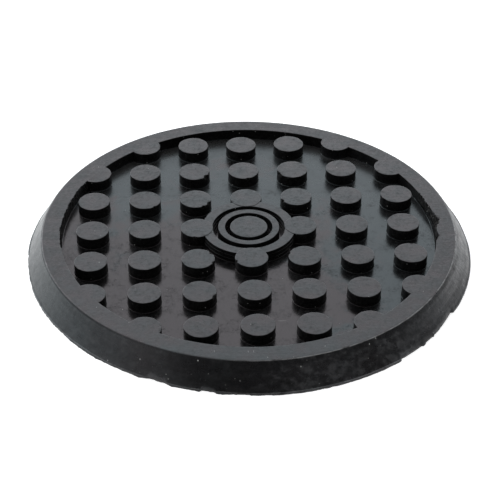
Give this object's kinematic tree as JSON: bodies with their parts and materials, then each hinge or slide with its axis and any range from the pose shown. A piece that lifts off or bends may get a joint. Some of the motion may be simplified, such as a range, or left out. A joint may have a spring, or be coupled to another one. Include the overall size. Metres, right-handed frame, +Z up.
{
  "type": "rubber jack pad",
  "caption": "Thin round moulded rubber pad with a sloping skirt, a studded recess and a ringed centre, set between a jack and its load.",
  "frame": {"origin": "centre of the flat base, on the surface that the pad rests on", "axes": "+Z up through the studs, +X along a row of studs, +Y along a column of studs"},
  "size_m": [0.128, 0.128, 0.0077],
  "materials": {
    "black_rubber": "satin moulded rubber with dust in its pores"
  },
  "bodies": {
    "root": {"jack_pad": "black_rubber"}
  },
  "joints": []
}
